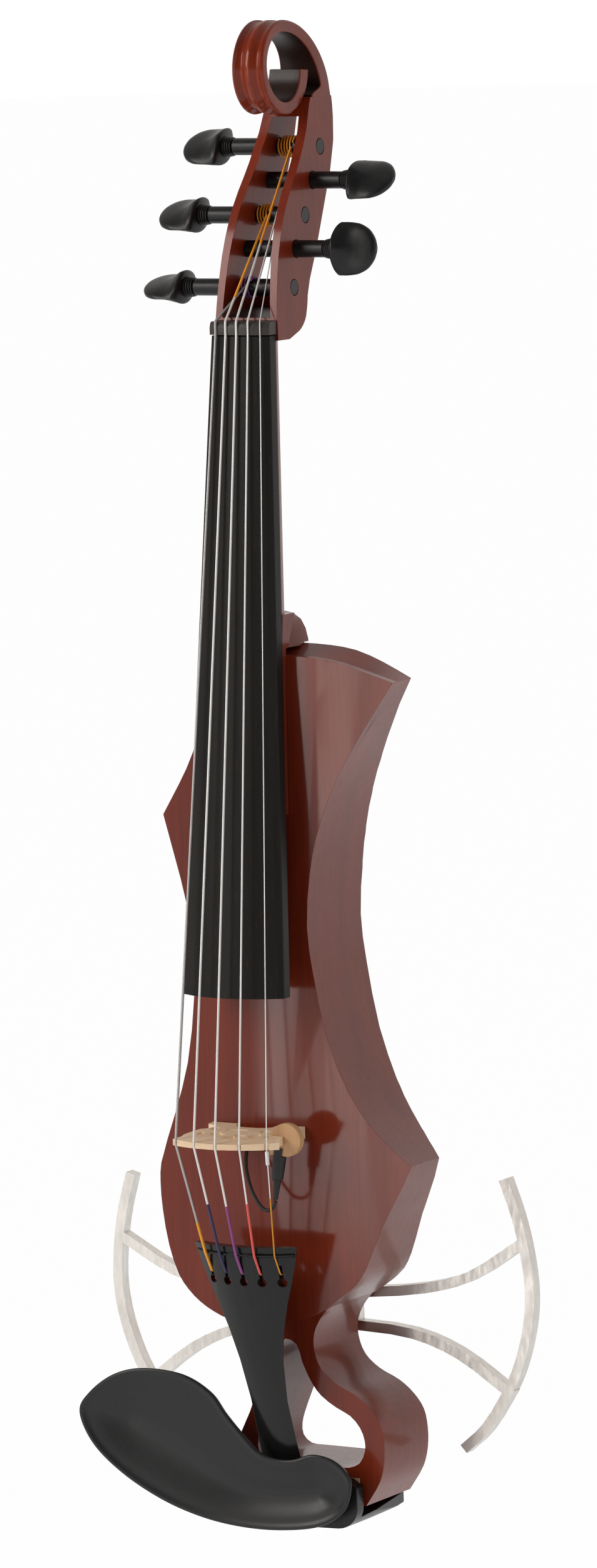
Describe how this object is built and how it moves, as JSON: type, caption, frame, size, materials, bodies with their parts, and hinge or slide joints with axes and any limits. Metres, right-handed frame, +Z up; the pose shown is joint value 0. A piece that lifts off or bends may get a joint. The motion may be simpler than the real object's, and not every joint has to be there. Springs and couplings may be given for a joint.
{
  "type": "electric violin",
  "caption": "Solid-body electric violin with open scroll, geared pegs, under-bridge pickup disc, hollow tail loop, side-mounted chin rest and a metal shoulder frame.",
  "frame": {"origin": "top of the inside of the scroll's eye, where the instrument hangs", "axes": "+Z up along the strings to the scroll, -Y the way the strings face, +X to the side of the thinnest string"},
  "size_m": [0.1989, 0.1049, 0.62],
  "materials": {
    "ebony": "satin",
    "nut_wood": "satin",
    "lacquered_wood": "glossy red-brown lacquer",
    "peg_black": "satin",
    "string_metal": "wound and plain",
    "orange_silk": "silk wrap",
    "violet_silk": "silk wrap",
    "white_plastic": "smooth",
    "maple": "bare, fine flecks",
    "disc_wood": "bare",
    "sleeve_rubber": "matte",
    "tailpiece_black": "satin",
    "gut_black": "smooth",
    "fitting_black": "satin",
    "chin_rest_black": "satin",
    "clamp_black": "satin",
    "cork": "cork",
    "screw_steel": "plain",
    "frame_metal": "brushed",
    "cover_black": "satin",
    "knob_black": "satin",
    "nickel": "nickel",
    "circuit_green": "lacquered board",
    "battery_shell": "plain"
  },
  "bodies": {
    "violin": {"fingerboard": "ebony", "nut": "nut_wood", "neck": "lacquered_wood", "pegbox_scroll": "lacquered_wood", "peg_casing_a": "peg_black", "peg_casing_b": "peg_black", "peg_casing_c": "peg_black", "peg_casing_d": "peg_black", "peg_casing_e": "peg_black", "string_1": "string_metal", "string_2": "string_metal", "string_3": "string_metal", "string_4": "string_metal", "string_5": "string_metal", "string_tube": "white_plastic", "top_plate": "lacquered_wood", "body_core": "lacquered_wood", "tail_loop": "lacquered_wood", "bridge": "maple", "pickup_disc": "disc_wood", "pickup_sleeve": "sleeve_rubber", "pickup_lead": "sleeve_rubber", "tailpiece": "tailpiece_black", "tail_gut": "gut_black", "tail_saddle": "fitting_black", "end_button": "fitting_black", "chin_rest_plate": "chin_rest_black", "chin_rest_strap": "clamp_black", "chin_rest_cork": "cork", "shoulder_frame": "frame_metal", "frame_screw_1": "screw_steel", "frame_screw_2": "screw_steel", "back_cover": "cover_black", "cover_screw_1": "screw_steel", "cover_screw_2": "screw_steel", "volume_potentiometer": "nickel", "tone_potentiometer": "nickel", "circuit_board": "circuit_green", "battery": "battery_shell", "output_jack": "nickel"},
    "peg_head_a": {"peg_head_a": "peg_black"},
    "peg_shaft_a": {"peg_shaft_a": "peg_black", "string_winding_a": "orange_silk"},
    "peg_head_b": {"peg_head_b": "peg_black"},
    "peg_shaft_b": {"peg_shaft_b": "peg_black", "string_winding_b": "orange_silk"},
    "peg_head_c": {"peg_head_c": "peg_black"},
    "peg_shaft_c": {"peg_shaft_c": "peg_black", "string_winding_c": "violet_silk"},
    "peg_head_d": {"peg_head_d": "peg_black"},
    "peg_shaft_d": {"peg_shaft_d": "peg_black", "string_winding_d": "string_metal"},
    "peg_head_e": {"peg_head_e": "peg_black"},
    "peg_shaft_e": {"peg_shaft_e": "peg_black", "string_winding_e": "string_metal"},
    "clamp_jaw": {"clamp_jaw": "clamp_black", "jaw_cork": "cork"},
    "clamp_screw": {"clamp_screw": "screw_steel"},
    "volume_knob": {"volume_knob": "knob_black"},
    "tone_knob": {"tone_knob": "knob_black"}
  },
  "joints": [
    {"name": "peg_head_a_turn", "type": "hinge", "parent": "violin", "child": "peg_head_a", "pos_m": [0, 0.0206, -0.0475], "axis": [1, 0, 0], "continuous": true},
    {"name": "peg_shaft_a_turn", "type": "hinge", "parent": "violin", "child": "peg_shaft_a", "pos_m": [0, 0.0206, -0.0475], "axis": [1, 0, 0], "continuous": true},
    {"name": "peg_head_b_turn", "type": "hinge", "parent": "violin", "child": "peg_head_b", "pos_m": [0, 0.0043, -0.0747], "axis": [1, 0, 0], "continuous": true},
    {"name": "peg_shaft_b_turn", "type": "hinge", "parent": "violin", "child": "peg_shaft_b", "pos_m": [0, 0.0043, -0.0747], "axis": [1, 0, 0], "continuous": true},
    {"name": "peg_head_c_turn", "type": "hinge", "parent": "violin", "child": "peg_head_c", "pos_m": [0, -0.0087, -0.1035], "axis": [1, 0, 0], "continuous": true},
    {"name": "peg_shaft_c_turn", "type": "hinge", "parent": "violin", "child": "peg_shaft_c", "pos_m": [0, -0.0087, -0.1035], "axis": [1, 0, 0], "continuous": true},
    {"name": "peg_head_d_turn", "type": "hinge", "parent": "violin", "child": "peg_head_d", "pos_m": [0, 0.0126, -0.0609], "axis": [1, 0, 0], "continuous": true},
    {"name": "peg_shaft_d_turn", "type": "hinge", "parent": "violin", "child": "peg_shaft_d", "pos_m": [0, 0.0126, -0.0609], "axis": [1, 0, 0], "continuous": true},
    {"name": "peg_head_e_turn", "type": "hinge", "parent": "violin", "child": "peg_head_e", "pos_m": [0, -0.005, -0.088], "axis": [1, 0, 0], "continuous": true},
    {"name": "peg_shaft_e_turn", "type": "hinge", "parent": "violin", "child": "peg_shaft_e", "pos_m": [0, -0.005, -0.088], "axis": [1, 0, 0], "continuous": true},
    {"name": "clamp_jaw_slide", "type": "slide", "parent": "violin", "child": "clamp_jaw", "axis": [0, 1, 0], "range_m": [0, 0.004]},
    {"name": "clamp_screw_turn", "type": "hinge", "parent": "clamp_jaw", "child": "clamp_screw", "pos_m": [0.0277, 0.01, -0.60645], "axis": [0, 1, 0], "range_deg": [-1, 1442]},
    {"name": "volume_knob_turn", "type": "hinge", "parent": "violin", "child": "volume_knob", "pos_m": [-0.0088, 0.019, -0.3915], "axis": [0, 1, 0], "range_deg": [-150, 150]},
    {"name": "tone_knob_turn", "type": "hinge", "parent": "violin", "child": "tone_knob", "pos_m": [0.0088, 0.019, -0.3915], "axis": [0, 1, 0], "range_deg": [-150, 150]}
  ],
  "couplings": [
    {"joint": "peg_shaft_a_turn", "follows": "peg_head_a_turn", "ratio": 0.11765},
    {"joint": "peg_shaft_b_turn", "follows": "peg_head_b_turn", "ratio": 0.11765},
    {"joint": "peg_shaft_c_turn", "follows": "peg_head_c_turn", "ratio": 0.11765},
    {"joint": "peg_shaft_d_turn", "follows": "peg_head_d_turn", "ratio": 0.11765},
    {"joint": "peg_shaft_e_turn", "follows": "peg_head_e_turn", "ratio": 0.11765},
    {"joint": "clamp_screw_turn", "follows": "clamp_jaw_slide", "rad_per_m": 6283.2}
  ]
}
